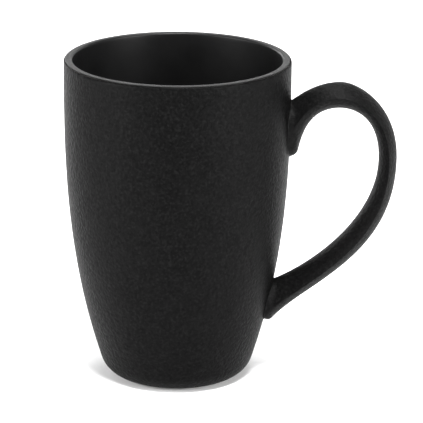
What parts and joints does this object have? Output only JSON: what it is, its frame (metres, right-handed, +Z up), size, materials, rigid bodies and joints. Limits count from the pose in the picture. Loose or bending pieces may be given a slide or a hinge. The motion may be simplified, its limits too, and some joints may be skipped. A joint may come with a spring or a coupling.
{
  "type": "mug",
  "caption": "Tall barrel-shaped ceramic mug with a looped handle, a gritty matt coat outside and a smooth satin coat inside.",
  "frame": {"origin": "on the table under the foot ring, midway between the far side of the rim and the outermost point of the handle; the cup's own axis stands at x = -0.01925", "axes": "+Z up along the cup's axis towards the rim, +X from the cup towards the handle, +Y across the handle"},
  "size_m": [0.1204, 0.082, 0.119],
  "materials": {
    "clay": "matte",
    "slip": "matte",
    "matt_coat": "matte",
    "satin_coat": "satin"
  },
  "bodies": {
    "root": {"cup_body": "clay", "handle": "clay", "upper_handle_slip": "slip", "lower_handle_slip": "slip", "wall_glaze": "matt_coat", "handle_glaze": "matt_coat", "liner_glaze": "satin_coat", "base_glaze": "satin_coat"}
  },
  "joints": []
}
